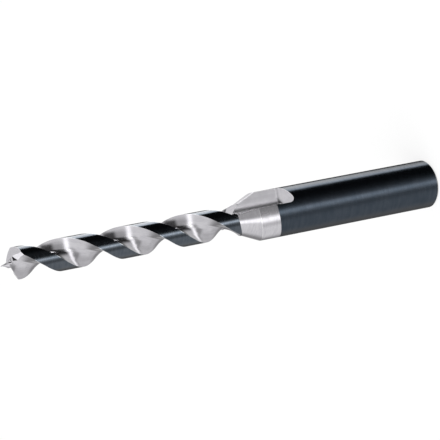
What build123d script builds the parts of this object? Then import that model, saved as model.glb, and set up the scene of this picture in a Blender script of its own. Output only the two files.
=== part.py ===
from build123d import *
import os
from math import acos, atan2, cos, degrees, radians, sin, tan

os.makedirs("parts", exist_ok=True)

# A one-piece two-flute step drill that stands on the end of its shank.
# The drill axis is +Z, the middle of the shank's end face is the origin and the tip points up.
# Lengths are in millimetres, angles in degrees, and angles about the axis count from +X towards +Y.

# Shank, step and pilot
shank_diameter = 10.0
pilot_diameter = 6.5
overall_length = 100.0
shank_length = 43.6           # end face to the step's cutting edge, where the cone starts
step_point_angle = 46.0       # included angle of the cone between pilot and shank
relief_offset = 0.52          # the step's cone is ground about an axis this far off the drill's
relief_turn = 5.0             # that axis lies this far behind the cutting edge
shank_chamfer = 0.35

# Flutes
flute_lead = 28.0             # length of one full right-hand turn
flute_edge_angle = 6.5        # where a full flute's cutting edge would reach the start of the cone
land_width_angle = 63.5       # the part of a turn that each of the two lands takes up
web_thickness = 1.5
flute_bottom_radius = 1.2
flute_bottom_turn = 68.0      # from a land's cutting edge round to the deepest line of the flute
flute_end_gap = 1.3           # from the full section of a flute down to the start of the cone
flute_end_length = 3.6        # run-out of a flute, into the cone
flute_end_slope = 53.0        # how steeply it comes out

# Straight gash ground through the step
gash_edge_angle = 18.0        # where the step's cutting edge stands
gash_width_angle = 62.0       # the part of a turn that each of the two gashes opens
gash_bottom_radius = 2.1
gash_length = 9.0             # behind the step's cutting edge
gash_end_slope = 20.0         # lean of the wall that ends the gash
gash_end_radius = 1.2
gash_front_angle = 15.0       # between the axis and the plane that ends the gash in the flute

# Ground point
point_angle = 133.0           # included angle of the two lips
lip_relief = 21.0             # fall of the facet right behind a lip
lip_offset = 0.6              # each lip lies this far ahead of the axis
heel_relief = 29.0            # the second and steeper facet behind each lip
heel_facet_turn = 25.0        # how far that facet faces round towards the flute
heel_facet_x = 0.55           # a point that it passes through, on the first facet
heel_facet_y = 1.55
spike_length = 1.6            # centre point, above the crown of the lips
spike_tip_radius = 0.06
spike_waist_radius = 0.25     # half-way along the spike
spike_root_share = 0.92       # radius of the spike's root, as a share of half the web
core_radius = 0.92            # the heel facets stop this far from the axis
core_turn = 34.0              # and face this way
core_lean = 12.0

# Sizes that follow from those
shank_radius = shank_diameter / 2
pilot_radius = pilot_diameter / 2
cone_slope = tan(radians(step_point_angle / 2))
cone_top = shank_length + (shank_radius - pilot_radius) / cone_slope
flute_start = cone_top + flute_end_gap
flute_start_angle = flute_edge_angle + 360 * flute_end_gap / flute_lead
flute_width_angle = 180 - land_width_angle
step_land_angle = 180 - gash_width_angle
crown_height = overall_length - spike_length
spike_root_radius = spike_root_share * web_thickness / 2
cutter_reach = shank_radius + 2
cutter_side = 4 * cutter_reach
run_out_steps = 4             # sections that the run-out is lofted through, less one
overlap = 0.2                 # how far a cutter passes the surface that it leaves


def polar(radius, angle):
    """Point of a sketch at a radius and an angle."""
    return radius * cos(radians(angle)), radius * sin(radians(angle))


def touching_angle(point, centre, radius, side):
    """Angle about the centre at which a line from the point touches the circle."""
    dx, dy = point[0] - centre[0], point[1] - centre[1]
    return degrees(atan2(dy, dx) + side * acos(radius / (dx * dx + dy * dy) ** 0.5))


flute_heel = polar(pilot_radius, flute_width_angle)
flute_middle = polar(web_thickness / 2 + flute_bottom_radius, flute_bottom_turn)
rake_touch = touching_angle((pilot_radius, 0), flute_middle, flute_bottom_radius, -1)
heel_touch = touching_angle(flute_heel, flute_middle, flute_bottom_radius, 1) - 360
heel_wall_direction = heel_touch + 270


def flute_section(plane):
    """Section of a flute: two straight walls into a round bottom. The cutting edge lies on +X."""
    edge, heel = Vector(pilot_radius, 0), Vector(*flute_heel)
    with BuildSketch(plane) as section:
        with BuildLine():
            floor = CenterArc(flute_middle, flute_bottom_radius, rake_touch, heel_touch - rake_touch)
            rake_wall = Line(floor @ 0, edge * 2 - floor @ 0)
            heel_wall = Line(floor @ 1, heel * 2 - floor @ 1)
            ThreePointArc(rake_wall @ 1, polar(cutter_reach, flute_width_angle / 2), heel_wall @ 1)
        make_face()
    return section.sketch


# Flute cutter: the section carried up a right-hand screw, past the tip
with BuildPart() as flute_cutter:
    with BuildLine() as flute_path:
        Helix(flute_lead, overall_length + overlap - flute_start, pilot_radius, (0, 0, flute_start))
    flute_end = flute_section(Plane.XY.offset(flute_start))
    sweep(sections=flute_end, path=flute_path.line, is_frenet=True)

# Run-out cutter: the section turns on with the screw but slides outwards along its own heel wall,
# so the heel edge keeps its line and the cutting edge stays at the edge of the gash
with BuildPart() as run_out_cutter:
    run_out = []
    for step in range(run_out_steps + 1):
        fall = flute_end_length * step / run_out_steps
        slide_x, slide_y = polar(fall * tan(radians(flute_end_slope)), heel_wall_direction)
        turned = Rot(0, 0, -360 * fall / flute_lead) * Pos(slide_x, slide_y, flute_start - fall)
        run_out.append(flute_section(Plane(turned)))
    loft(sections=run_out)

# Relief cutter: all that lies outside a cone whose axis stands off the drill's axis, towards the
# cutting edge, so that the step falls back behind the edge; kept for one land only
edge_reach = relief_offset * cos(radians(relief_turn))
relief_inner = pilot_radius - edge_reach - overlap
relief_outer = shank_radius + relief_offset
relief_top = cone_top + flute_end_gap
land_middle = relief_turn - step_land_angle / 2
with BuildPart() as relief_cutter:
    with BuildSketch(Plane.XZ):
        with BuildLine():
            Polyline(
                (relief_inner, cone_top + overlap / cone_slope),
                (relief_outer, shank_length - (relief_outer + edge_reach - shank_radius) / cone_slope),
                (relief_outer, relief_top),
                (relief_inner, relief_top),
                close=True,
            )
        make_face()
    revolve(axis=Axis.Z)
    split(bisect_by=Plane((-relief_offset, 0, 0), z_dir=(*polar(1, land_middle), 0)), keep=Keep.TOP)

# Gash cutter: a radial cutting wall, a round corner and a flat wall, ended by a leaning wall; above
# the cone it is only as wide as the plane leaves it that runs out into the flute
gash_wall = radians(gash_edge_angle)
gash_floor_x = shank_radius * cos(gash_wall + radians(gash_width_angle))
corner_x = gash_floor_x + gash_bottom_radius
corner_y = (gash_bottom_radius + corner_x * sin(gash_wall)) / cos(gash_wall)
gash_end = shank_length - gash_length
gash_top = flute_start + overlap
gash_corner_x = pilot_radius * cos(gash_wall)
with BuildPart() as gash_cutter:
    with BuildSketch(Plane.XY.offset(gash_end)) as gash_section:
        with BuildLine():
            corner = CenterArc((corner_x, corner_y), gash_bottom_radius, 180, 90 + gash_edge_angle)
            outer_edge = polar(cutter_reach, gash_edge_angle)
            Polyline(corner @ 1, outer_edge, (outer_edge[0], cutter_reach), (gash_floor_x, cutter_reach), corner @ 0)
        make_face()
    extrude(amount=gash_top - gash_end)
    front_lean = 1 / tan(radians(gash_front_angle))
    split(bisect_by=Plane((gash_corner_x, 0, cone_top), z_dir=(front_lean, 0, 1)), keep=Keep.BOTTOM)
    extrude(gash_section.sketch, amount=cone_top - gash_end)
    end_lean = tan(radians(gash_end_slope))
    split(bisect_by=Plane((shank_radius, 0, gash_end), z_dir=(end_lean, 0, 1)), keep=Keep.TOP)
    end_wall = gash_cutter.faces().sort_by(Axis.Z)[0]
    inner_walls = end_wall.edges().filter_by_position(Axis.X, -cutter_reach, outer_edge[0] - overlap)
    fillet(inner_walls.filter_by_position(Axis.Y, -cutter_reach, cutter_reach - overlap), gash_end_radius)

# Point cutters for the blade on the +Y side: the facet behind its lip, and the steeper heel facet,
# which stops at the core that carries the spike
lip_slope = tan(radians(90 - point_angle / 2))
relief_slope = tan(radians(lip_relief))
heel_facet_z = crown_height - heel_facet_y * lip_slope - (heel_facet_x + lip_offset) * relief_slope
with BuildPart() as lip_cutter:
    with BuildSketch(Plane((-lip_offset, 0, crown_height), z_dir=(relief_slope, lip_slope, 1))):
        Rectangle(cutter_side, cutter_side)
    extrude(amount=cutter_reach)
    split(bisect_by=Plane.XZ, keep=Keep.BOTTOM)
with BuildPart() as heel_cutter:
    steepest = (*polar(tan(radians(heel_relief)), -heel_facet_turn), 1)
    with BuildSketch(Plane((heel_facet_x, heel_facet_y, heel_facet_z), z_dir=steepest)):
        Rectangle(cutter_side, cutter_side)
    extrude(amount=cutter_reach)
    outward = (*polar(1, core_turn), tan(radians(core_lean)))
    split(bisect_by=Plane((*polar(core_radius, core_turn), crown_height), z_dir=outward), keep=Keep.TOP)
    split(bisect_by=Plane.XZ, keep=Keep.BOTTOM)

# The drill: shank blank, relief-ground cone and pilot, then flutes, gashes, point and spike
with BuildPart() as step_drill:
    with BuildSketch(Plane.XY):
        Circle(shank_radius)
    extrude(amount=cone_top + overlap)
    chamfer(step_drill.faces().sort_by(Axis.Z)[0].edges(), shank_chamfer)
    with PolarLocations(relief_offset, 2, start_angle=gash_edge_angle - relief_turn):
        add(relief_cutter.part, mode=Mode.SUBTRACT)
    with BuildSketch(Plane.XY.offset(gash_end)):
        Circle(pilot_radius)
    extrude(amount=crown_height + overlap - gash_end)
    with PolarLocations(0, 2, start_angle=flute_start_angle):
        add(flute_cutter.part, mode=Mode.SUBTRACT)
        add(run_out_cutter.part, mode=Mode.SUBTRACT)
    with PolarLocations(0, 2):
        add(gash_cutter.part, mode=Mode.SUBTRACT)
        add(lip_cutter.part, mode=Mode.SUBTRACT)
        add(heel_cutter.part, mode=Mode.SUBTRACT)
    with BuildSketch(Plane.XZ):
        with BuildLine():
            spike_side = ThreePointArc(
                (spike_tip_radius, overall_length),
                (spike_waist_radius, crown_height + spike_length / 2),
                (spike_root_radius, crown_height),
            )
            spike_foot = crown_height - spike_length
            Polyline(spike_side @ 1, (spike_root_radius, spike_foot), (0, spike_foot), (0, overall_length),
                     spike_side @ 0)
        make_face()
    revolve(axis=Axis.Z)

step_drill.part.label = "step_drill"
export_step(step_drill.part, "parts/step_drill.step")
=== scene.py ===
import logging
import math
from dataclasses import dataclass, field
from enum import IntEnum

import bmesh
import bpy
from mathutils import Matrix, Vector


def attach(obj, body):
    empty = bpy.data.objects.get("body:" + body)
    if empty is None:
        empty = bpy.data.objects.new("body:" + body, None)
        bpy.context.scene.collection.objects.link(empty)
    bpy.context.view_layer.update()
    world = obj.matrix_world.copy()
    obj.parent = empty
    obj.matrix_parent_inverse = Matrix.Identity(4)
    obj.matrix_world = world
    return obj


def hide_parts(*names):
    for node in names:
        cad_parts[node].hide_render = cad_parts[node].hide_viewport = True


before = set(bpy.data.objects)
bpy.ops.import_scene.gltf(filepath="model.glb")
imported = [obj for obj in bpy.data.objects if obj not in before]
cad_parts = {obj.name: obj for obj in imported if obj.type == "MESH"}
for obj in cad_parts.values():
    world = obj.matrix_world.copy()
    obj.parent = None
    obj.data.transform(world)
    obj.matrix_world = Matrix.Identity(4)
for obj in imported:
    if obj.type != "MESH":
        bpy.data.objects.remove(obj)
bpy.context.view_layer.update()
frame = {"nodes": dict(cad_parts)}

log = logging.getLogger("step_drill")

MILLIMETRE = 0.001
MERGE_DISTANCE = 0.0015       # vertices closer than this, in millimetres, become one
SLIVER_LENGTH = 0.001         # edges shorter than this, in millimetres, are dissolved
FLOOR_DROP = 0.00005          # metres that the floor lies below the end of the shank


class Surface(IntEnum):
    """The ways in which the drill's faces are finished; each value is also a material slot."""

    BLACKENED = 0
    RING = 1
    CONE = 2
    FLUTE = 3
    GASH = 4
    FLANK = 5
    HEEL = 6
    SPIKE = 7
    END = 8
    LAND = 9


def polar(radius: float, angle: float) -> tuple[float, float]:
    """Point at a radius and an angle in degrees.

    Args:
        radius: Distance from the axis.
        angle: Degrees from +X towards +Y.

    Returns:
        The point's x and y.
    """
    return radius * math.cos(math.radians(angle)), radius * math.sin(math.radians(angle))


def touching_angle(point: tuple[float, float], centre: tuple[float, float],
                   radius: float, side: int) -> float:
    """Angle about a circle's centre at which a line from a point touches the circle.

    Args:
        point: Where the line starts.
        centre: Middle of the circle.
        radius: Radius of the circle.
        side: 1 or -1, for the two lines that touch.

    Returns:
        The angle in degrees.
    """
    dx, dy = point[0] - centre[0], point[1] - centre[1]
    return math.degrees(math.atan2(dy, dx) + side * math.acos(radius / math.hypot(dx, dy)))


@dataclass(frozen=True)
class DrillSizes:
    """The drill's sizes in millimetres and degrees, the same as in the part's source."""

    shank_radius: float = 5.0
    pilot_radius: float = 3.25
    overall_length: float = 100.0
    shank_length: float = 43.6
    step_point_angle: float = 46.0
    relief_offset: float = 0.52
    relief_turn: float = 5.0
    shank_chamfer: float = 0.35
    ring_length: float = 4.33
    flute_lead: float = 28.0
    flute_edge_angle: float = 6.5
    land_width_angle: float = 63.5
    web_thickness: float = 1.5
    flute_bottom_radius: float = 1.2
    flute_bottom_turn: float = 68.0
    flute_end_gap: float = 1.3
    flute_end_length: float = 3.6
    flute_end_slope: float = 53.0
    gash_edge_angle: float = 18.0
    gash_width_angle: float = 62.0
    gash_bottom_radius: float = 2.1
    gash_length: float = 9.0
    gash_end_slope: float = 20.0
    gash_end_radius: float = 1.2
    gash_front_angle: float = 15.0
    point_angle: float = 133.0
    lip_relief: float = 21.0
    lip_offset: float = 0.6
    heel_relief: float = 29.0
    heel_facet_turn: float = 25.0
    heel_facet_x: float = 0.55
    heel_facet_y: float = 1.55
    spike_length: float = 1.6
    spike_tip_radius: float = 0.06
    spike_waist_radius: float = 0.25
    spike_root_radius: float = 0.69
    core_radius: float = 0.92
    core_turn: float = 34.0
    core_lean: float = 12.0
    reach: float = 7.0
    overlap: float = 0.2

    @property
    def cone_slope(self) -> float:
        """Radius that the cone loses for each millimetre up."""
        return math.tan(math.radians(self.step_point_angle / 2))

    @property
    def cone_top(self) -> float:
        """Height at which the cone's cutting edge meets the pilot."""
        return self.shank_length + (self.shank_radius - self.pilot_radius) / self.cone_slope

    @property
    def flute_start(self) -> float:
        """Height of the lowest full section of the flutes."""
        return self.cone_top + self.flute_end_gap

    @property
    def crown(self) -> float:
        """Height at which the planes of the two lips cross the axis."""
        return self.overall_length - self.spike_length

    def flute_edge_at(self, height: float) -> float:
        """Angle of a full flute's cutting edge at a height, in degrees."""
        return self.flute_edge_angle + 360 * (height - self.cone_top) / self.flute_lead

    def step_height(self, radius: float, angle: float) -> float:
        """Height of the relief-ground cone's surface.

        Args:
            radius: Distance from the drill's axis, between pilot and shank.
            angle: Degrees about the axis.

        Returns:
            The height at which the cone has that radius there.
        """
        behind = (angle - self.gash_edge_angle + self.relief_turn) % 360
        seam = 180 - self.gash_width_angle / 2 - self.relief_turn
        turn = behind if behind < 180 - seam or behind >= 360 - seam else behind - 180
        reach = self.relief_offset * math.cos(math.radians(self.relief_turn))
        spread = 2 * radius * self.relief_offset * math.cos(math.radians(turn))
        off_axis = math.sqrt(radius ** 2 + self.relief_offset ** 2 - spread)
        return self.shank_length + (self.shank_radius - reach - off_axis) / self.cone_slope


class Cutter:
    """A closed mesh in millimetres whose faces carry the finish that they leave behind."""

    def __init__(self, name: str) -> None:
        """Starts an empty mesh under a name."""
        self.name = name
        self.work = bmesh.new()

    def ring(self, points: list[tuple[float, float, float]]) -> list[bmesh.types.BMVert]:
        """Adds a row of vertices and returns them."""
        return [self.work.verts.new(point) for point in points]

    def bridge(self, low: list, high: list, surfaces: list[Surface]) -> None:
        """Joins two closed rows with quads.

        Args:
            low: The lower row.
            high: The upper row, as long as the lower.
            surfaces: The finish of each quad, one for each vertex of a row.
        """
        count = len(low)
        for i in range(count):
            j = (i + 1) % count
            face = self.work.faces.new((low[i], low[j], high[j], high[i]))
            face.material_index = surfaces[i]

    def cap(self, ring: list, surface: Surface, flip: bool = False) -> None:
        """Closes a row with one face.

        Args:
            ring: The row, anticlockwise as seen from above.
            surface: The face's finish.
            flip: Whether the face looks down.
        """
        face = self.work.faces.new(list(reversed(ring)) if flip else ring)
        face.material_index = surface

    def keep_above(self, point: Vector, normal: Vector, surface: Surface) -> None:
        """Cuts the mesh with a plane, keeps the side that the normal points to and closes it.

        Args:
            point: A point of the plane.
            normal: Direction of the side that stays.
            surface: Finish of the new face.
        """
        parts = list(self.work.verts) + list(self.work.edges) + list(self.work.faces)
        bmesh.ops.bisect_plane(self.work, geom=parts, plane_co=point, plane_no=normal, clear_inner=True)
        open_edges = [edge for edge in self.work.edges if edge.is_boundary]
        for face in bmesh.ops.holes_fill(self.work, edges=open_edges)["faces"]:
            face.material_index = surface

    def turned(self, angle: float) -> "Cutter":
        """A copy of this mesh, turned about the drill's axis by an angle in degrees."""
        copy = Cutter(f"{self.name}_{angle:.0f}")
        copy.work = self.work.copy()
        turn = Matrix.Rotation(math.radians(angle), 3, "Z")
        bmesh.ops.rotate(copy.work, matrix=turn, verts=copy.work.verts)
        return copy

    def to_object(self) -> bpy.types.Object:
        """Writes the mesh to a new object with one slot for each finish."""
        bmesh.ops.recalc_face_normals(self.work, faces=self.work.faces)
        mesh = bpy.data.meshes.new(self.name)
        for _ in Surface:
            mesh.materials.append(None)
        self.work.to_mesh(mesh)
        self.work.free()
        thing = bpy.data.objects.new(self.name, mesh)
        bpy.context.scene.collection.objects.link(thing)
        return thing


@dataclass(frozen=True)
class TurnedBlank:
    """The blank before any flute is cut: shank, relief-ground step and pilot."""

    sizes: DrillSizes
    columns: int = 288
    cone_rows: int = 8

    def profile(self, angle: float) -> list[tuple[float, float, Surface]]:
        """Outline of the blank at one angle.

        Args:
            angle: Degrees about the axis.

        Returns:
            Radius, height and the finish of the band above, from the end face upwards.
        """
        s = self.sizes
        knee = s.step_height(s.shank_radius, angle)
        rows = [
            (s.shank_radius - s.shank_chamfer, 0.0, Surface.BLACKENED),
            (s.shank_radius, s.shank_chamfer, Surface.BLACKENED),
            (s.shank_radius, knee - s.ring_length, Surface.RING),
        ]
        for row in range(self.cone_rows + 1):
            radius = s.shank_radius + (s.pilot_radius - s.shank_radius) * row / self.cone_rows
            surface = Surface.CONE if row < self.cone_rows else Surface.LAND
            rows.append((radius, s.step_height(radius, angle), surface))
        rows.append((s.pilot_radius, s.crown + s.overlap, Surface.FLANK))
        return rows

    def build(self) -> Cutter:
        """Builds the closed mesh of the blank."""
        mesh = Cutter("blank")
        angles = [360 * i / self.columns for i in range(self.columns)]
        outlines = [self.profile(angle) for angle in angles]
        rings = []
        for row in range(len(outlines[0])):
            rings.append(mesh.ring([(*polar(outline[row][0], angle), outline[row][1])
                                    for angle, outline in zip(angles, outlines)]))
        for row in range(len(rings) - 1):
            mesh.bridge(rings[row], rings[row + 1], [outlines[0][row][2]] * self.columns)
        mesh.cap(rings[0], Surface.END, flip=True)
        mesh.cap(rings[-1], Surface.FLANK)
        return mesh


@dataclass(frozen=True)
class Flute:
    """One helical flute with its run-out into the step."""

    sizes: DrillSizes
    row_height: float = 0.25
    run_out_rows: int = 18
    rake_steps: int = 12
    floor_steps: int = 28
    heel_steps: int = 16
    closing_shares: tuple = (0.8, 0.5, 0.2)

    def section(self) -> list[tuple[float, float]]:
        """The flute's section, cutting edge on +X: rake wall, round floor, heel wall, closing arc."""
        s = self.sizes
        width = 180 - s.land_width_angle
        edge, heel = (s.pilot_radius, 0.0), polar(s.pilot_radius, width)
        middle = polar(s.web_thickness / 2 + s.flute_bottom_radius, s.flute_bottom_turn)
        start = touching_angle(edge, middle, s.flute_bottom_radius, -1)
        end = touching_angle(heel, middle, s.flute_bottom_radius, 1) - 360
        floor = []
        for i in range(self.floor_steps + 1):
            x, y = polar(s.flute_bottom_radius, start + (end - start) * i / self.floor_steps)
            floor.append((middle[0] + x, middle[1] + y))
        rake_end = (2 * edge[0] - floor[0][0], 2 * edge[1] - floor[0][1])
        heel_end = (2 * heel[0] - floor[-1][0], 2 * heel[1] - floor[-1][1])
        points = self.between(rake_end, floor[0], self.rake_steps) + floor
        points += self.between(floor[-1], heel_end, self.heel_steps)[1:]
        points.append(heel_end)
        for share in self.closing_shares:
            points.append(polar(s.reach, width * share))
        return points

    @staticmethod
    def between(first: tuple[float, float], last: tuple[float, float],
                count: int) -> list[tuple[float, float]]:
        """Points along a line.

        Args:
            first: Where the line starts; this point is among those returned.
            last: Where it ends; this point isn't.
            count: Number of points.

        Returns:
            The points, evenly spaced.
        """
        return [(first[0] + (last[0] - first[0]) * i / count,
                 first[1] + (last[1] - first[1]) * i / count) for i in range(count)]

    def heel_direction(self) -> float:
        """Direction of the heel wall in the section, in degrees, outwards."""
        s = self.sizes
        heel = polar(s.pilot_radius, 180 - s.land_width_angle)
        middle = polar(s.web_thickness / 2 + s.flute_bottom_radius, s.flute_bottom_turn)
        return touching_angle(heel, middle, s.flute_bottom_radius, 1) - 90

    def build(self) -> Cutter:
        """Builds the closed cutter from the end of the run-out to above the tip."""
        s = self.sizes
        mesh = Cutter("flute")
        section = self.section()
        top = s.overall_length + s.overlap
        heights = [s.flute_start - s.flute_end_length * (1 - i / self.run_out_rows)
                   for i in range(self.run_out_rows)]
        rows = round((top - s.flute_start) / self.row_height)
        heights += [s.flute_start + (top - s.flute_start) * i / rows for i in range(rows + 1)]
        slope = math.tan(math.radians(s.flute_end_slope))
        rings = []
        for height in heights:
            slide = polar(max(0.0, s.flute_start - height) * slope, self.heel_direction())
            turn = Matrix.Rotation(math.radians(s.flute_edge_at(height)), 3, "Z")
            row = [turn @ Vector((x + slide[0], y + slide[1], 0)) for x, y in section]
            rings.append(mesh.ring([(p.x, p.y, height) for p in row]))
        for low, high in zip(rings, rings[1:]):
            mesh.bridge(low, high, [Surface.FLUTE] * len(section))
        mesh.cap(rings[0], Surface.FLUTE, flip=True)
        mesh.cap(rings[-1], Surface.FLUTE)
        return mesh


@dataclass(frozen=True)
class Gash:
    """The straight gash ground through the step, with a rounded end."""

    sizes: DrillSizes
    corner_steps: int = 20
    fillet_steps: int = 10

    def chain(self) -> list[tuple[Vector, Vector]]:
        """The gash's inner outline: flat wall, round corner and cutting wall.

        Returns:
            Points with the direction from each wall into the gash.
        """
        s = self.sizes
        edge = s.gash_edge_angle
        floor_x = polar(s.shank_radius, edge + s.gash_width_angle)[0]
        centre_x = floor_x + s.gash_bottom_radius
        wall = math.radians(edge)
        centre_y = (s.gash_bottom_radius + centre_x * math.sin(wall)) / math.cos(wall)
        points = [(Vector((floor_x, s.reach)), Vector((1, 0)))]
        for i in range(self.corner_steps + 1):
            out = Vector(polar(1.0, 180 + (90 + edge) * i / self.corner_steps))
            points.append((Vector((centre_x, centre_y)) + s.gash_bottom_radius * out, -out))
        points.append((Vector(polar(s.reach, edge)), Vector(polar(1.0, edge + 90))))
        return points

    def build(self) -> Cutter:
        """The gash from its rounded end up to the top of the cone."""
        s = self.sizes
        lean = math.tan(math.radians(s.gash_end_slope))
        plane = Vector((lean, 0, 1)).normalized()
        foot = s.shank_length - s.gash_length
        mesh = Cutter("gash")
        chain = self.chain()
        far = Vector((s.reach + s.gash_end_radius, s.reach))

        def row(share: float) -> list[tuple[float, float, float]]:
            """One row of the rounded end: share 0 touches the end wall, share 1 the side walls."""
            points = []
            for point, inward in chain:
                centre = point + inward * s.gash_end_radius
                height = foot + (s.shank_radius - centre.x) * lean + s.gash_end_radius / plane.z
                out = (-plane).slerp(Vector((-inward.x, -inward.y, 0)), share) * s.gash_end_radius
                points.append((centre.x + out.x, centre.y + out.y, height + out.z))
            points.append((far.x, far.y, foot + (s.shank_radius - far.x) * lean + share))
            return points

        rings = [mesh.ring(row(i / self.fillet_steps)) for i in range(self.fillet_steps + 1)]
        outline = [point for point, _ in chain] + [far]
        rings.append(mesh.ring([(p.x, p.y, s.cone_top) for p in outline]))
        for low, high in zip(rings, rings[1:]):
            mesh.bridge(low, high, [Surface.GASH] * len(outline))
        mesh.cap(rings[0], Surface.GASH, flip=True)
        mesh.cap(rings[-1], Surface.GASH)
        return mesh

    def build_front(self) -> Cutter:
        """The gash above the cone, as wide as the plane leaves it that runs out into the flute."""
        s = self.sizes
        mesh = Cutter("gash_front")
        corner_x = polar(s.pilot_radius, s.gash_edge_angle)[0]
        lean = 1 / math.tan(math.radians(s.gash_front_angle))
        outline = [point for point, _ in self.chain()] + [Vector((s.reach, s.reach))]
        low = mesh.ring([(p.x, p.y, s.cone_top - 1) for p in outline])
        high = mesh.ring([(p.x, p.y, s.flute_start + s.overlap) for p in outline])
        mesh.bridge(low, high, [Surface.GASH] * len(outline))
        mesh.cap(low, Surface.GASH, flip=True)
        mesh.cap(high, Surface.GASH)
        mesh.keep_above(Vector((corner_x, 0, s.cone_top)), Vector((-lean, 0, -1)), Surface.GASH)
        return mesh


@dataclass(frozen=True)
class GroundPoint:
    """The ground tip: a facet behind each lip, a steeper heel facet, and the centre spike."""

    sizes: DrillSizes
    spike_columns: int = 64
    spike_rows: int = 24

    def half_block(self, name: str) -> Cutter:
        """A block round the tip on the +Y side of the axis."""
        s = self.sizes
        mesh = Cutter(name)
        corners = [(-s.reach, 0.0), (s.reach, 0.0), (s.reach, s.reach), (-s.reach, s.reach)]
        low = mesh.ring([(x, y, s.crown - 2 * s.reach) for x, y in corners])
        high = mesh.ring([(x, y, s.crown + s.reach) for x, y in corners])
        mesh.bridge(low, high, [Surface.FLANK] * 4)
        mesh.cap(low, Surface.FLANK, flip=True)
        mesh.cap(high, Surface.FLANK)
        return mesh

    def lip_slopes(self) -> tuple[float, float]:
        """Slope of a lip, and of the facet behind it."""
        s = self.sizes
        return math.tan(math.radians(90 - s.point_angle / 2)), math.tan(math.radians(s.lip_relief))

    def flank(self) -> Cutter:
        """What the facet behind the +Y lip takes away."""
        s = self.sizes
        lip, relief = self.lip_slopes()
        mesh = self.half_block("flank")
        mesh.keep_above(Vector((-s.lip_offset, 0, s.crown)), Vector((relief, lip, 1)), Surface.FLANK)
        return mesh

    def heel(self) -> Cutter:
        """What the heel facet takes away, as far in as the core that carries the spike."""
        s = self.sizes
        lip, relief = self.lip_slopes()
        height = s.crown - s.heel_facet_y * lip - (s.heel_facet_x + s.lip_offset) * relief
        steepest = Vector((*polar(math.tan(math.radians(s.heel_relief)), -s.heel_facet_turn), 1))
        outward = Vector((*polar(1, s.core_turn), math.tan(math.radians(s.core_lean))))
        mesh = self.half_block("heel")
        mesh.keep_above(Vector((s.heel_facet_x, s.heel_facet_y, height)), steepest, Surface.HEEL)
        mesh.keep_above(Vector((*polar(s.core_radius, s.core_turn), s.crown)), outward, Surface.HEEL)
        return mesh

    def spike(self) -> Cutter:
        """The turned centre spike with its hollow sides."""
        s = self.sizes
        mesh = Cutter("spike")
        top, waist, root = (Vector((s.spike_tip_radius, s.overall_length)),
                            Vector((s.spike_waist_radius, s.crown + s.spike_length / 2)),
                            Vector((s.spike_root_radius, s.crown)))
        outline = [(s.spike_root_radius, s.crown - s.spike_length)]
        for i in range(self.spike_rows + 1):
            outline.append(self.through(root, waist, top, i / self.spike_rows))
        rings = []
        for radius, height in outline:
            rings.append(mesh.ring([(*polar(radius, 360 * i / self.spike_columns), height)
                                    for i in range(self.spike_columns)]))
        for low, high in zip(rings, rings[1:]):
            mesh.bridge(low, high, [Surface.SPIKE] * self.spike_columns)
        mesh.cap(rings[0], Surface.SPIKE, flip=True)
        mesh.cap(rings[-1], Surface.SPIKE)
        return mesh

    @staticmethod
    def through(first: Vector, middle: Vector, last: Vector, share: float) -> tuple[float, float]:
        """A point on the arc through three points.

        Args:
            first: Where the arc starts.
            middle: A point on it.
            last: Where it ends.
            share: 0 at the start and 1 at the end.

        Returns:
            The point's two coordinates.
        """
        a, b = middle - first, last - first
        cross = 2 * (a.x * b.y - a.y * b.x)
        centre = first + Vector((b.y * a.length_squared - a.y * b.length_squared,
                                 a.x * b.length_squared - b.x * a.length_squared)) / cross
        start = math.atan2(first.y - centre.y, first.x - centre.x)
        sweep = math.atan2(last.y - centre.y, last.x - centre.x) - start
        sweep = (sweep + math.pi) % (2 * math.pi) - math.pi
        radius, angle = (first - centre).length, start + sweep * share
        return centre.x + radius * math.cos(angle), centre.y + radius * math.sin(angle)


def socket(group: bpy.types.NodeTree, name: str, kind: str, way: str = "INPUT", value: object = None) -> None:
    """Adds a named socket to a shader node group.

    Args:
        group: The node group.
        name: Name of the socket.
        kind: Short kind, such as Float, Color or Vector.
        way: INPUT or OUTPUT.
        value: What an input holds when nothing is linked.
    """
    made = group.interface.new_socket(name=name, in_out=way, socket_type=f"NodeSocket{kind}")
    if value is not None:
        made.default_value = value


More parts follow.
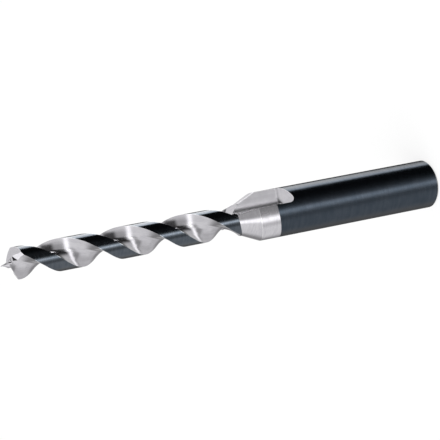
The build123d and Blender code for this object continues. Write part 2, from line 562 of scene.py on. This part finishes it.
class Nodes:
    """Short calls that add linked nodes to a tree."""

    def __init__(self, tree: bpy.types.NodeTree) -> None:
        """Keeps the tree that the nodes go to."""
        self.tree = tree

    def put(self, target: bpy.types.NodeSocket, value: object) -> None:
        """Links a socket to an input, or writes a plain value to it."""
        if isinstance(value, bpy.types.NodeSocket):
            self.tree.links.new(value, target)
        elif value is not None:
            target.default_value = value

    def add(self, kind: str, inputs: dict | None = None, **settings: object) -> bpy.types.Node:
        """Adds a node.

        Args:
            kind: Type name without its ShaderNode prefix.
            inputs: Values or sockets for its inputs, by name or number.
            settings: Properties of the node.

        Returns:
            The new node.
        """
        node = self.tree.nodes.new("ShaderNode" + kind)
        for key, value in settings.items():
            setattr(node, key, value)
        for key, value in (inputs or {}).items():
            self.put(node.inputs[key], value)
        return node

    def math(self, operation: str, *values: object) -> bpy.types.NodeSocket:
        """A Math node's result for sockets or numbers."""
        node = self.add("Math", dict(enumerate(values)), operation=operation)
        return node.outputs[0]

    def vector(self, operation: str, *values: object) -> bpy.types.NodeSocket:
        """A Vector Math node's result for sockets or triples."""
        node = self.add("VectorMath", dict(enumerate(values)), operation=operation)
        return node.outputs[0]

    def noise(self, vector: object, scale: float, detail: float = 2.0,
              rough: float = 0.5) -> bpy.types.NodeSocket:
        """Plain noise between 0 and 1."""
        made = self.add("TexNoise", {"Vector": vector, "Scale": scale, "Detail": detail, "Roughness": rough})
        return made.outputs[0]

    def span(self, value: object, low: float, high: float,
             to_low: float = 0.0, to_high: float = 1.0) -> bpy.types.NodeSocket:
        """A value carried from one span to another, smoothly and held at the ends."""
        names = {"Value": value, "From Min": low, "From Max": high, "To Min": to_low, "To Max": to_high}
        return self.add("MapRange", names, interpolation_type="SMOOTHSTEP").outputs[0]

    def span_plain(self, value: object, low: float, high: float) -> bpy.types.NodeSocket:
        """Where a value stands between two others, from 0 to 1 and held at the ends."""
        return self.add("MapRange", {"Value": value, "From Min": low, "From Max": high}).outputs[0]

    def blend(self, share: object, first: object, second: object) -> bpy.types.NodeSocket:
        """A colour between two colours."""
        node = self.add("Mix", data_type="RGBA")
        self.put(node.inputs[0], share)
        self.put(node.inputs[6], first)
        self.put(node.inputs[7], second)
        return node.outputs[2]


class DrillCoordinates:
    """Shader node group for a point's place on the drill, in millimetres: along it, round it, in a flute."""

    NAME = "drill_coordinates"
    LAND_START = 49.42            # degrees to the heel edge of a land, with the flutes' twist taken out
    LAND_WIDTH = 63.5             # degrees, the same as land_width_angle in DrillSizes
    UNROLLED_RADIUS = 4.0         # marks that run round the drill are laid out at this radius

    @classmethod
    def tree(cls) -> bpy.types.NodeTree:
        """Builds the group once and returns it."""
        if cls.NAME in bpy.data.node_groups:
            return bpy.data.node_groups[cls.NAME]
        group = bpy.data.node_groups.new(cls.NAME, "ShaderNodeTree")
        socket(group, "Lead", "Float", value=28.0)
        for name in ("Point", "Unrolled", "Flute"):
            socket(group, name, "Vector", "OUTPUT")
        for name in ("Radius", "Height", "Land Edge"):
            socket(group, name, "Float", "OUTPUT")
        n = Nodes(group)
        given = n.tree.nodes.new("NodeGroupInput").outputs
        point = n.vector("SCALE", n.add("TexCoord").outputs["Object"])
        point.node.inputs["Scale"].default_value = 1 / MILLIMETRE
        parts = n.add("SeparateXYZ", {0: point}).outputs
        angle = n.math("ARCTAN2", parts[1], parts[0])
        radius = n.math("SQRT", n.math("ADD", n.math("MULTIPLY", parts[0], parts[0]),
                                       n.math("MULTIPLY", parts[1], parts[1])))
        twist = n.math("DIVIDE", n.math("MULTIPLY", parts[2], 2 * math.pi), given["Lead"])
        turn = n.math("SUBTRACT", angle, twist)
        across = n.math("MULTIPLY", n.math("COSINE", turn), radius)
        along = n.math("MULTIPLY", n.math("SINE", turn), radius)
        round_x = n.math("MULTIPLY", n.math("COSINE", angle), cls.UNROLLED_RADIUS)
        round_y = n.math("MULTIPLY", n.math("SINE", angle), cls.UNROLLED_RADIUS)
        result = n.tree.nodes.new("NodeGroupOutput").inputs
        n.put(result["Point"], point)
        n.put(result["Unrolled"], n.add("CombineXYZ", {0: round_x, 1: round_y, 2: parts[2]}).outputs[0])
        n.put(result["Flute"], n.add("CombineXYZ", {0: across, 1: along, 2: parts[2]}).outputs[0])
        n.put(result["Radius"], radius)
        n.put(result["Height"], parts[2])
        land = n.math("WRAP", n.math("SUBTRACT", turn, math.radians(cls.LAND_START)), math.pi, 0.0)
        nearer = n.math("MINIMUM", land, n.math("SUBTRACT", math.radians(cls.LAND_WIDTH), land))
        n.put(result["Land Edge"], n.math("MULTIPLY", nearer, radius))
        return group


class GrindingMarks:
    """Shader node group for the fine parallel scratches that a wheel or a lathe leaves."""

    NAME = "grinding_marks"
    SCRATCH_NOISE = (4.0, 0.7)    # detail and roughness of each noise
    BAND_NOISE = (2.0, 0.5)
    PATCH_NOISE = (3.0, 0.6)
    PATCH_SCALE = 0.45            # the patches don't follow the tool's path

    @classmethod
    def tree(cls) -> bpy.types.NodeTree:
        """Builds the group once and returns it."""
        if cls.NAME in bpy.data.node_groups:
            return bpy.data.node_groups[cls.NAME]
        group = bpy.data.node_groups.new(cls.NAME, "ShaderNodeTree")
        socket(group, "Vector", "Vector")
        socket(group, "Stretch", "Vector", value=(1.0, 1.0, 1.0))
        socket(group, "Fine", "Float", value=9.0)
        socket(group, "Coarse", "Float", value=1.6)
        for name in ("Scratches", "Bands", "Patches"):
            socket(group, name, "Float", "OUTPUT")
        n = Nodes(group)
        given = n.tree.nodes.new("NodeGroupInput").outputs
        drawn = n.vector("MULTIPLY", given["Vector"], given["Stretch"])
        result = n.tree.nodes.new("NodeGroupOutput").inputs
        n.put(result["Scratches"], n.noise(drawn, given["Fine"], *cls.SCRATCH_NOISE))
        n.put(result["Bands"], n.noise(drawn, given["Coarse"], *cls.BAND_NOISE))
        n.put(result["Patches"], n.noise(given["Vector"], cls.PATCH_SCALE, *cls.PATCH_NOISE))
        return group


class AxialLay:
    """Shader node group that leans normals up the drill.

    Real steel doesn't do this. It moves the reflections of the shank, the lands and the ring, so that
    the same strips of light suit them and the flutes. A lean of 0.18 is about 10 degrees, and one of
    0.27 about 15.
    """

    NAME = "axial_lay"

    @classmethod
    def tree(cls) -> bpy.types.NodeTree:
        """Builds the group once and returns it."""
        if cls.NAME in bpy.data.node_groups:
            return bpy.data.node_groups[cls.NAME]
        group = bpy.data.node_groups.new(cls.NAME, "ShaderNodeTree")
        socket(group, "Lean", "Float", value=0.0)
        socket(group, "Normal", "Vector", "OUTPUT")
        n = Nodes(group)
        given = n.tree.nodes.new("NodeGroupInput").outputs
        up = n.add("CombineXYZ", {2: given["Lean"]}).outputs[0]
        leaning = n.vector("NORMALIZE", n.vector("ADD", n.add("NewGeometry").outputs["Normal"], up))
        n.put(n.tree.nodes.new("NodeGroupOutput").inputs["Normal"], leaning)
        return group


class EdgeWearAndGlint:
    """Shader node group for a band along an edge, in uneven short lengths, where the colour is painted for
    rubbed wear and an edge highlight.
    """

    NAME = "edge_wear"
    PATCH_NOISE = (3.0, 3.0)      # scale and detail
    PATCH_SPAN = (0.3, 0.7)
    WIDTH_SPAN = (0.4, 1.6)       # narrowest and widest band of wear and painted highlight, as shares of the given width
    FULL_SHARE = 0.3              # share of the width that takes the wear-and-glint colour fully

    @classmethod
    def tree(cls) -> bpy.types.NodeTree:
        """Builds the group once and returns it."""
        if cls.NAME in bpy.data.node_groups:
            return bpy.data.node_groups[cls.NAME]
        group = bpy.data.node_groups.new(cls.NAME, "ShaderNodeTree")
        socket(group, "Vector", "Vector")
        socket(group, "Place", "Float")
        socket(group, "Edge", "Float")
        socket(group, "Width", "Float", value=0.1)
        socket(group, "Mask", "Float", "OUTPUT")
        n = Nodes(group)
        given = n.tree.nodes.new("NodeGroupInput").outputs
        patchy = n.span(n.noise(given["Vector"], *cls.PATCH_NOISE), *cls.PATCH_SPAN, *cls.WIDTH_SPAN)
        uneven = n.math("MULTIPLY", given["Width"], patchy)
        off = n.math("ABSOLUTE", n.math("SUBTRACT", given["Place"], given["Edge"]))
        share = n.math("DIVIDE", off, uneven)
        result = n.tree.nodes.new("NodeGroupOutput").inputs
        n.put(result["Mask"], n.span(share, cls.FULL_SHARE, 1.0, 1.0, 0.0))
        return group


@dataclass(frozen=True)
class Steel:
    """What every finish has in common: two tones, gloss, and marks that follow the tool's path.

    The frame and the stretch lay out the marks, whose sizes are fine and coarse. The bump is their height
    in millimetres. The lean is that of the normals, and the painted sheen value is how far the colour turns
    grey where the face is seen edge on, a painted sheen that stands in for the grazing reflection. The edge
    names a place on the drill, the value at which the edge lies and the width of its band, and the
    wear-and-glint colour is painted there: partly rubbed wear, partly a painted edge highlight. The
    scratches make the roughness smoother or rougher by the last two values.
    """

    name: str
    colour: tuple
    shade: tuple
    roughness: float
    frame: str = "Unrolled"
    stretch: tuple = (1.0, 1.0, 8.0)
    fine: float = 2.5
    coarse: float = 0.5
    bump: float = 0.001
    strength: float = 0.6
    lean: float = 0.0
    painted_rim_sheen: float = 0.0
    edge: tuple = ()
    wear_and_glint: tuple = ()
    tone_span: tuple = (0.38, 0.62)
    rim_span: tuple = (0.40, 0.62)
    scratch_span: tuple = (0.25, 0.75)
    smoother: float = 0.03
    rougher: float = 0.06

    def material(self) -> bpy.types.Material:
        """Builds the node material."""
        made = bpy.data.materials.new(self.name)
        made.use_nodes = True
        n = Nodes(made.node_tree)
        shader = made.node_tree.nodes["Principled BSDF"]
        place = n.add("Group", node_tree=DrillCoordinates.tree())
        marks = n.add("Group", node_tree=GrindingMarks.tree())
        n.put(marks.inputs["Vector"], place.outputs[self.frame])
        for name, value in (("Stretch", self.stretch), ("Fine", self.fine), ("Coarse", self.coarse)):
            marks.inputs[name].default_value = value
        tone = n.math("ADD", n.math("MULTIPLY", marks.outputs["Bands"], 0.5),
                      n.math("MULTIPLY", marks.outputs["Patches"], 0.5))
        colour = n.blend(n.span(tone, *self.tone_span), self.shade, self.colour)
        # Painted sheen: where the face is seen edge on, the colour turns to a neutral grey of its own
        # brightness, standing in for the grazing reflection
        if self.painted_rim_sheen:
            facing = n.add("LayerWeight", {"Blend": 0.5}).outputs["Facing"]
            grey = sum(self.colour[:3]) / 3
            share = n.span(facing, *self.rim_span, 0.0, self.painted_rim_sheen)
            colour = n.blend(share, colour, (grey, grey, grey, 1))
        # Rubbed wear and painted edge highlight: a lighter band along the named edge
        if self.edge:
            wear = n.add("Group", node_tree=EdgeWearAndGlint.tree())
            n.put(wear.inputs["Vector"], place.outputs["Point"])
            n.put(wear.inputs["Place"], place.outputs[self.edge[0]])
            wear.inputs["Edge"].default_value, wear.inputs["Width"].default_value = self.edge[1:]
            colour = n.blend(wear.outputs["Mask"], colour, self.wear_and_glint)
        n.put(shader.inputs["Base Color"], colour)
        gloss = n.span(marks.outputs["Scratches"], *self.scratch_span,
                       self.roughness - self.smoother, self.roughness + self.rougher)
        n.put(shader.inputs["Roughness"], gloss)
        shader.inputs["Metallic"].default_value = 1.0
        bump = n.add("Bump", {"Strength": self.strength, "Distance": self.bump * MILLIMETRE,
                              "Height": marks.outputs["Scratches"]})
        if self.lean:
            lay = n.add("Group", node_tree=AxialLay.tree())
            lay.inputs["Lean"].default_value = self.lean
            n.put(bump.inputs["Normal"], lay.outputs["Normal"])
        n.put(shader.inputs["Normal"], bump.outputs[0])
        return made


def finishes() -> dict[Surface, Steel]:
    """The finish of each kind of face."""
    steel, dull = (0.62, 0.61, 0.64, 1), (0.56, 0.55, 0.58, 1)
    oxide, thin = (0.056, 0.068, 0.085, 1), (0.044, 0.056, 0.072, 1)
    slate, smoke = (0.102, 0.115, 0.133, 1), (0.080, 0.094, 0.112, 1)
    # The pale edge colour of the ground steel is partly wear, partly a painted edge highlight; the slate one
    # on the lands likewise
    pale = (0.80, 0.79, 0.81, 1)
    grey, slate_wear_and_glint = (0.2, 0.2, 0.21, 1), (0.40, 0.41, 0.43, 1)
    # The blackened rounds get leaned normals and the painted grazing sheen
    leaned_with_painted_rim = {"stretch": (0.5, 0.5, 5.0), "fine": 1.6, "lean": 0.18, "painted_rim_sheen": 0.5}
    facet = {"frame": "Point", "stretch": (0.5, 4.0, 4.0), "edge": ("Radius", 3.25, 0.10), "wear_and_glint": pale}
    return {
        Surface.BLACKENED: Steel("black_oxide", oxide, thin, 0.19, bump=0.0012,
                                 edge=("Height", 0.35, 0.12), wear_and_glint=grey, **leaned_with_painted_rim),
        Surface.RING: Steel("ground_ring", steel, dull, 0.14, bump=0.0005, lean=0.27),
        Surface.CONE: Steel("ground_cone", steel, dull, 0.14, bump=0.0005,
                            edge=("Radius", 5.0, 0.06), wear_and_glint=pale),
        Surface.FLUTE: Steel("ground_flute", steel, dull, 0.17, frame="Flute", stretch=(3.0, 3.0, 0.25),
                             edge=("Radius", 3.25, 0.07), wear_and_glint=pale),
        Surface.GASH: Steel("ground_gash", steel, dull, 0.34, frame="Point", stretch=(3.0, 3.0, 0.3),
                            edge=("Radius", 5.0, 0.12), wear_and_glint=pale),
        Surface.FLANK: Steel("ground_flank", steel, dull, 0.22, **facet),
        Surface.HEEL: Steel("ground_heel", steel, dull, 0.22, **facet),
        Surface.SPIKE: Steel("ground_spike", steel, dull, 0.30, stretch=(0.5, 0.5, 8.0)),
        Surface.END: Steel("black_end", oxide, thin, 0.34, frame="Point", stretch=(1.0, 1.0, 1.0),
                           bump=0.002, edge=("Radius", 4.65, 0.12), wear_and_glint=grey),
        Surface.LAND: Steel("blackened_land", slate, smoke, 0.10, bump=0.0006,
                            edge=("Land Edge", 0.0, 0.09), wear_and_glint=slate_wear_and_glint, **leaned_with_painted_rim),
    }


@dataclass
class StepDrill:
    """The whole drill, cut from its blank in the order in which the real one is ground."""

    sizes: DrillSizes = field(default_factory=DrillSizes)
    sharp_angle: float = 24.0
    seam_ratio: float = 3.0       # between two finishes the sharp angle is this many times smaller

    def cut(self, body: bpy.types.Object, cutter: Cutter, operation: str = "DIFFERENCE") -> None:
        """Applies one boolean to the body's mesh.

        Args:
            body: The drill so far.
            cutter: What is taken away or added.
            operation: Name of the boolean operation.
        """
        tool = cutter.to_object()
        step = body.modifiers.new(cutter.name, "BOOLEAN")
        step.operation, step.solver, step.object = operation, "EXACT", tool
        step.material_mode = "INDEX"
        graph = bpy.context.evaluated_depsgraph_get()
        done = bpy.data.meshes.new_from_object(body.evaluated_get(graph))
        body.modifiers.remove(step)
        old, body.data = body.data, done
        bpy.data.meshes.remove(old)
        bpy.data.objects.remove(tool)

    def shade(self, body: bpy.types.Object) -> None:
        """Cleans the cut mesh, smooths its curved faces and keeps its ground edges sharp."""
        work = bmesh.new()
        work.from_mesh(body.data)
        bmesh.ops.remove_doubles(work, verts=work.verts, dist=MERGE_DISTANCE)
        bmesh.ops.dissolve_degenerate(work, dist=SLIVER_LENGTH, edges=work.edges)
        limit = math.radians(self.sharp_angle)
        for edge in work.edges:
            faces = edge.link_faces
            if len(faces) == 2:
                other = faces[0].material_index != faces[1].material_index
                edge.smooth = edge.calc_face_angle(0.0) < (limit / self.seam_ratio if other else limit)
        for face in work.faces:
            face.smooth = True
        work.to_mesh(body.data)
        work.free()

    def build(self) -> bpy.types.Object:
        """Cuts the drill, dresses it and hands it to the frame.

        Returns:
            The finished object.
        """
        s = self.sizes
        body = TurnedBlank(s).build().to_object()
        body.name = "ground_drill"
        flute, gash, point = Flute(s), Gash(s), GroundPoint(s)
        for side in (0.0, 180.0):
            for made in (flute.build(), gash.build(), gash.build_front(), point.flank(), point.heel()):
                self.cut(body, made.turned(side))
                made.work.free()
        self.cut(body, point.spike(), "UNION")
        self.shade(body)
        body.data.transform(Matrix.Scale(MILLIMETRE, 4))
        body.data.name = "ground_drill"
        for surface, finish in finishes().items():
            body.data.materials[surface] = finish.material()
        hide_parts("step_drill")
        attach(body, "root")
        # The drill leaves itself out of its reflections, or the light line in each flute breaks off
        body.visible_glossy = False
        return body


@dataclass(frozen=True)
class SoftStrip:
    """A soft patch in the studio's light, by direction in degrees as seen from the drill."""

    azimuth: float
    half_width: float
    low: float
    high: float
    strength: float
    edge: float = 10.0
    fade: float = 12.0
    leans: bool = True


@dataclass(frozen=True)
class Studio:
    """Pale floor, even soft light, and the strips of light and shade that the steel shows.

    The strips' places and strengths were tuned to the reflections in the photo. Where a strip leans, the
    swing tells how far it is turned round the drill at each height.
    """

    floor_half: float = 1.2
    floor_tones: tuple = ((0.90, 0.90, 0.90, 1), (0.93, 0.93, 0.93, 1))
    floor_grain: float = 60.0
    floor_roughness: float = 0.9
    floor_specular: float = 0.1
    glow_share: float = 0.8
    low_light: float = 0.67
    high_light: float = 0.90
    light_rise: tuple = (-45, -10)
    key_place: tuple = (0.15, -0.20, 0.60)
    key_aim: tuple = (0, 0, 0.05)
    key_size: float = 0.40
    key_power: float = 2.0
    strips: tuple = (
        SoftStrip(-38, 20, -29, 40, 0.94, 22, 38, False),
        SoftStrip(-144, 4, -40, 10, 0.30, 40, 22, False),
        SoftStrip(17, 17, -8, 15, 0.48, 25, 28),
        SoftStrip(-50, 5, -33, -9, 0.42, 14, 14),
        SoftStrip(-62, 10, -80, -43, 0.36, 15, 9),
        SoftStrip(64, 18, -14, 22, 0.06, 16, 12),
        SoftStrip(48, 48, -36, -8, 0.02, 14, 12),
        SoftStrip(115, 14, -20, -14, 4.40, 12, 5, False),
        SoftStrip(-26, 3, -60, 60, 1.80, 14, 14),
        SoftStrip(-26, 12, -73, -60, 1.60, 22, 8),
        SoftStrip(-25, 1, -13, -6, 4.20, 7, 3),
        SoftStrip(2, 9, -12, -6, 0.04, 10, 3),
        SoftStrip(-128, 12, 60, 69, 1.70, 14, 8, False),
    )
    swing: tuple = ((-90, 150), (-71, 127), (-63, 102), (-56, 89), (-48, 84), (-41, 78),
                    (-33, 70.5), (-26, 55.5), (-18, 40), (-11, 25), (-3, 8), (0, 0))

    def world(self) -> None:
        """White behind the drill, and for all other rays even light with the strips in it."""
        made = bpy.data.worlds.new("studio")
        bpy.context.scene.world = made
        made.use_nodes = True
        n = Nodes(made.node_tree)
        background = made.node_tree.nodes["Background"]
        parts = n.add("SeparateXYZ", {0: n.add("TexCoord").outputs["Generated"]}).outputs
        azimuth = n.math("DEGREES", n.math("ARCTAN2", parts[1], parts[0]))
        elevation = n.math("DEGREES", n.math("ARCSINE", parts[2]))
        leaning = n.math("SUBTRACT", azimuth, self.swing_curve(n, elevation))
        strength = n.span(elevation, *self.light_rise, self.low_light, self.high_light)
        for strip in self.strips:
            mask = self.mask(n, strip, leaning if strip.leans else azimuth, elevation)
            strength = self.mix(n, mask, strength, strip.strength)
        seen = n.add("LightPath").outputs["Is Camera Ray"]
        background.inputs["Color"].default_value = (1, 1, 1, 1)
        n.put(background.inputs["Strength"], self.mix(n, seen, strength, 1.0))

    def swing_curve(self, n: Nodes, elevation: object) -> bpy.types.NodeSocket:
        """How far the leaning strips swing round below the horizon, in degrees."""
        share = n.span_plain(elevation, -90, 0)
        node = n.add("FloatCurve", {"Value": share})
        track = node.mapping.curves[0]
        track.points[0].location = (0.0, self.swing[0][1] / 180)
        track.points[1].location = (1.0, self.swing[-1][1] / 180)
        for angle, turn in self.swing[1:-1]:
            track.points.new((angle + 90) / 90, turn / 180)
        for point in track.points:
            point.handle_type = "VECTOR"
        node.mapping.update()
        return n.math("MULTIPLY", node.outputs[0], 180)

    @staticmethod
    def mix(n: Nodes, share: object, first: object, second: object) -> bpy.types.NodeSocket:
        """A number between two numbers."""
        node = n.add("Mix", data_type="FLOAT")
        for place, value in ((0, share), (2, first), (3, second)):
            n.put(node.inputs[place], value)
        return node.outputs[0]

    @staticmethod
    def mask(n: Nodes, strip: SoftStrip, azimuth: object, elevation: object) -> bpy.types.NodeSocket:
        """Where a strip shows: 1 inside it and 0 outside, with soft edges."""
        off = n.math("ABSOLUTE", n.math("WRAP", n.math("SUBTRACT", azimuth, strip.azimuth), 180, -180))
        across = n.span(off, strip.half_width, strip.half_width + strip.edge, 1, 0)
        above = n.span(elevation, strip.low - strip.fade, strip.low)
        below = n.span(elevation, strip.high, strip.high + strip.fade, 1, 0)
        return n.math("MULTIPLY", across, n.math("MULTIPLY", above, below))

    def floor(self) -> None:
        """A wide pale floor that shows nearly white to the camera and keeps the drill's soft shadow."""
        work = bmesh.new()
        bmesh.ops.create_grid(work, x_segments=8, y_segments=8, size=self.floor_half)
        mesh = bpy.data.meshes.new("floor")
        work.to_mesh(mesh)
        work.free()
        made = bpy.data.objects.new("floor", mesh)
        made.location.z = -FLOOR_DROP
        bpy.context.scene.collection.objects.link(made)
        material = bpy.data.materials.new("pale_floor")
        material.use_nodes = True
        n = Nodes(material.node_tree)
        shader = material.node_tree.nodes["Principled BSDF"]
        grain = n.noise(n.add("TexCoord").outputs["Object"], self.floor_grain)
        n.put(shader.inputs["Base Color"], n.blend(grain, *self.floor_tones))
        shader.inputs["Roughness"].default_value = self.floor_roughness
        shader.inputs["Specular IOR Level"].default_value = self.floor_specular
        ray = n.add("LightPath").outputs
        seen = n.math("MAXIMUM", ray["Is Camera Ray"],
                      n.math("MAXIMUM", ray["Is Glossy Ray"], ray["Is Transmission Ray"]))
        glow = n.add("Emission", {"Color": (1, 1, 1, 1), "Strength": 1.0})
        share = n.math("MULTIPLY", seen, self.glow_share)
        mix = n.add("MixShader", {0: share, 1: shader.outputs[0], 2: glow.outputs[0]})
        n.put(material.node_tree.nodes["Material Output"].inputs["Surface"], mix.outputs[0])
        mesh.materials.append(material)
        # Light from below the horizon has to reach the steel, and the steel mirrors the world alone
        made.visible_glossy = made.visible_shadow = False

    def lamp(self, name: str, place: tuple, aim: tuple, size: float, power: float) -> None:
        """Adds a square soft lamp.

        Args:
            name: Name of the lamp.
            place: Where it hangs, in metres.
            aim: The point that it faces.
            size: Length of its side.
            power: Its power in watts.
        """
        data = bpy.data.lights.new(name, "AREA")
        data.size, data.energy, data.shape = size, power, "SQUARE"
        made = bpy.data.objects.new(name, data)
        made.location = place
        made.rotation_euler = (Vector(aim) - Vector(place)).to_track_quat("-Z", "Y").to_euler()
        made.visible_glossy = False
        bpy.context.scene.collection.objects.link(made)

    def build(self) -> None:
        """Sets up world, floor and lamp."""
        self.world()
        self.floor()
        self.lamp("key", self.key_place, self.key_aim, self.key_size, self.key_power)


@dataclass(frozen=True)
class PhotoCamera:
    """The camera at the photograph's viewing angle."""

    place: tuple = (0.50935, -0.00061, 0.33217)
    right: tuple = (0.47495292, -0.19086735, -0.85905295)
    up: tuple = (0.09437535, 0.98160919, -0.16591626)
    forward: tuple = (-0.87493449, 0.00227238, -0.48423817)
    lens: float = 235.49
    sensor_width: float = 36.0
    clip: tuple = (0.05, 20.0)

    def build(self) -> bpy.types.Object:
        """Adds the camera and makes it the scene's own."""
        data = bpy.data.cameras.new("photo_camera")
        data.lens, data.sensor_width = self.lens, self.sensor_width
        data.clip_start, data.clip_end = self.clip
        made = bpy.data.objects.new("photo_camera", data)
        axes = Matrix((self.right, self.up, -Vector(self.forward))).transposed().to_4x4()
        made.matrix_world = Matrix.Translation(self.place) @ axes
        bpy.context.scene.collection.objects.link(made)
        bpy.context.scene.camera = made
        return made


def main() -> None:
    """Builds camera, studio and drill, and reports each."""
    logging.basicConfig(level=logging.INFO, format="%(name)s: %(message)s")
    bpy.context.scene.view_settings.view_transform = "Standard"
    log.info("camera %s", PhotoCamera().build().name)
    Studio().build()
    log.info("studio built")
    drill = StepDrill().build()
    log.info("%s: %d faces", drill.name, len(drill.data.polygons))


if __name__ == "__main__":
    main()
